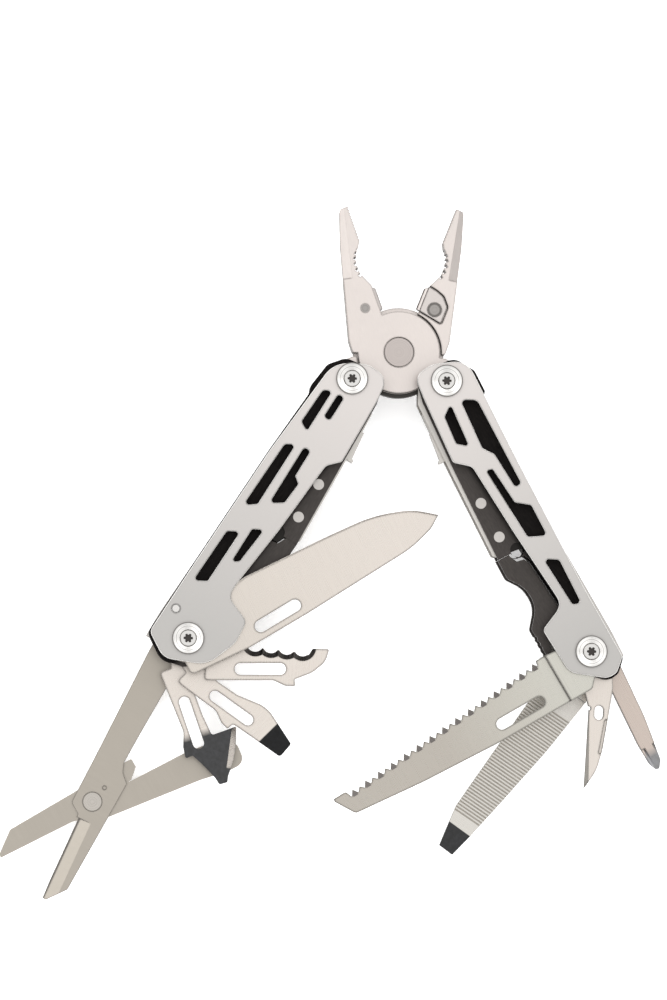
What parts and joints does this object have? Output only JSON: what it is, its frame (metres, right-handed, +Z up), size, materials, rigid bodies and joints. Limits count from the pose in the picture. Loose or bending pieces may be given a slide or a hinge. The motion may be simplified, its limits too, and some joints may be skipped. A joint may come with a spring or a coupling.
{
  "type": "multi tool",
  "caption": "Folding pocket multi tool with needle-nose pliers on two skeletonised handles that carry fold-out blades, saw, file, scissors, drivers and openers.",
  "frame": {"origin": "middle of the footprint on the surface it rests on, as it lies open on its back", "axes": "+Z up through the thickness out of the front, +Y towards the pliers, +X to the right handle"},
  "size_m": [0.1904, 0.1998, 0.0214],
  "materials": {
    "blasted_steel": "bead-blasted satin stainless steel with bright broken edges",
    "jaw_steel": "satin stainless steel",
    "blade_steel": "fine-ground stainless steel",
    "polished_steel": "turned and polished stainless steel",
    "black_oxide": "black oxide on satin steel"
  },
  "bodies": {
    "jaw_front": {"jaw_front": "jaw_steel", "head_rivet": "polished_steel", "cutter_insert_front": "jaw_steel", "cutter_screw_front": "polished_steel"},
    "jaw_rear": {"jaw_rear": "jaw_steel", "cutter_insert_rear": "jaw_steel", "cutter_screw_rear": "polished_steel"},
    "knife": {"knife": "blade_steel"},
    "serrated_cutter": {"serrated_cutter": "blade_steel"},
    "flat_driver": {"flat_driver": "blade_steel"},
    "can_opener": {"can_opener": "blade_steel"},
    "scissors_arm": {"scissors_arm": "blade_steel", "scissors_rivet": "polished_steel"},
    "scissors_lever": {"scissors_lever": "blade_steel", "scissors_spring": "blade_steel"},
    "saw": {"saw": "blade_steel"},
    "file": {"file": "blade_steel"},
    "awl": {"awl": "blade_steel"},
    "phillips_driver": {"phillips_driver": "blade_steel"},
    "left_handle": {"left_back_spring": "polished_steel", "left_channel": "polished_steel", "left_liner_rivets": "polished_steel", "left_lock_liner_front": "black_oxide", "left_lock_liner_rear": "black_oxide", "left_plier_pin": "polished_steel", "left_plier_screws": "polished_steel", "left_plier_washers": "polished_steel", "left_scale_front": "blasted_steel", "left_scale_rear": "blasted_steel", "left_stop_pin": "polished_steel", "left_tool_pin": "polished_steel", "left_tool_screws": "polished_steel", "left_tool_spacers": "polished_steel", "left_tool_washers": "polished_steel"},
    "left_lock_bar_front": {"left_lock_bar_front": "black_oxide"},
    "left_lock_bar_rear": {"left_lock_bar_rear": "black_oxide"},
    "right_handle": {"right_back_spring": "polished_steel", "right_channel": "polished_steel", "right_liner_rivets": "polished_steel", "right_lock_liner_front": "black_oxide", "right_lock_liner_rear": "black_oxide", "right_plier_pin": "polished_steel", "right_plier_screws": "polished_steel", "right_plier_washers": "polished_steel", "right_scale_front": "blasted_steel", "right_scale_rear": "blasted_steel", "right_tool_pin": "polished_steel", "right_tool_screws": "polished_steel", "right_tool_spacers": "polished_steel", "right_tool_washers": "polished_steel"},
    "right_lock_bar_front": {"right_lock_bar_front": "black_oxide"},
    "right_lock_bar_rear": {"right_lock_bar_rear": "black_oxide"}
  },
  "joints": [
    {"name": "jaw_pivot", "type": "hinge", "parent": "jaw_front", "child": "jaw_rear", "pos_m": [0.01928, 0.05782, 0.0107], "axis": [0, 0, -1], "range_deg": [-41, 2]},
    {"name": "left_handle_fold", "type": "hinge", "parent": "jaw_rear", "child": "left_handle", "pos_m": [0.00553, 0.04972, 0.0107], "axis": [0, 0, 1], "range_deg": [-169.5, 1.5]},
    {"name": "right_handle_fold", "type": "hinge", "parent": "jaw_front", "child": "right_handle", "pos_m": [0.03271, 0.0492, 0.0107], "axis": [0, 0, -1], "range_deg": [-171.2, 0]},
    {"name": "knife_fold", "type": "hinge", "parent": "left_handle", "child": "knife", "pos_m": [-0.04123, -0.02483, 0.0107], "axis": [0, 0, -1], "range_deg": [-31.7, 148.3]},
    {"name": "serrated_cutter_fold", "type": "hinge", "parent": "left_handle", "child": "serrated_cutter", "pos_m": [-0.04123, -0.02483, 0.0107], "axis": [0, 0, -1], "range_deg": [-63.3, 116.7]},
    {"name": "flat_driver_fold", "type": "hinge", "parent": "left_handle", "child": "flat_driver", "pos_m": [-0.04123, -0.02483, 0.0107], "axis": [0, 0, -1], "range_deg": [-103.5, 76.5]},
    {"name": "can_opener_fold", "type": "hinge", "parent": "left_handle", "child": "can_opener", "pos_m": [-0.04123, -0.02483, 0.0107], "axis": [0, 0, -1], "range_deg": [-129, 51]},
    {"name": "scissors_arm_fold", "type": "hinge", "parent": "left_handle", "child": "scissors_arm", "pos_m": [-0.04123, -0.02483, 0.0107], "axis": [0, 0, -1], "range_deg": [-178.1, 1.9]},
    {"name": "saw_fold", "type": "hinge", "parent": "right_handle", "child": "saw", "pos_m": [0.07429, -0.02836, 0.0107], "axis": [0, 0, 1], "range_deg": [-92.1, 87.9]},
    {"name": "file_fold", "type": "hinge", "parent": "right_handle", "child": "file", "pos_m": [0.07429, -0.02836, 0.0107], "axis": [0, 0, 1], "range_deg": [-116.1, 63.9]},
    {"name": "awl_fold", "type": "hinge", "parent": "right_handle", "child": "awl", "pos_m": [0.07429, -0.02836, 0.0107], "axis": [0, 0, 1], "range_deg": [-149.6, 30.4]},
    {"name": "phillips_driver_fold", "type": "hinge", "parent": "right_handle", "child": "phillips_driver", "pos_m": [0.07429, -0.02836, 0.0107], "axis": [0, 0, 1], "range_deg": [-182.8, 0]},
    {"name": "scissors_lever_squeeze", "type": "hinge", "parent": "scissors_arm", "child": "scissors_lever", "pos_m": [-0.0685, -0.07167, 0.00415], "axis": [0, 0, -1], "range_deg": [-33.5, 1], "stiffness_Nm_per_rad": 0.1},
    {"name": "left_lock_front_press", "type": "hinge", "parent": "left_handle", "child": "left_lock_bar_front", "pos_m": [-0.02035, 0.00846, 0.01585], "axis": [0.8471, -0.5314, 0], "range_deg": [0, 1.1], "stiffness_Nm_per_rad": 2},
    {"name": "left_lock_rear_press", "type": "hinge", "parent": "left_handle", "child": "left_lock_bar_rear", "pos_m": [-0.02035, 0.00846, 0.00555], "axis": [-0.8471, 0.5314, 0], "range_deg": [0, 1.1], "stiffness_Nm_per_rad": 2},
    {"name": "right_lock_front_press", "type": "hinge", "parent": "right_handle", "child": "right_lock_bar_front", "pos_m": [0.05752, 0.00293, 0.01585], "axis": [0.8813, 0.4726, 0], "range_deg": [0, 1.1], "stiffness_Nm_per_rad": 2},
    {"name": "right_lock_rear_press", "type": "hinge", "parent": "right_handle", "child": "right_lock_bar_rear", "pos_m": [0.05752, 0.00293, 0.00555], "axis": [-0.8813, -0.4726, 0], "range_deg": [0, 1.1], "stiffness_Nm_per_rad": 2}
  ]
}
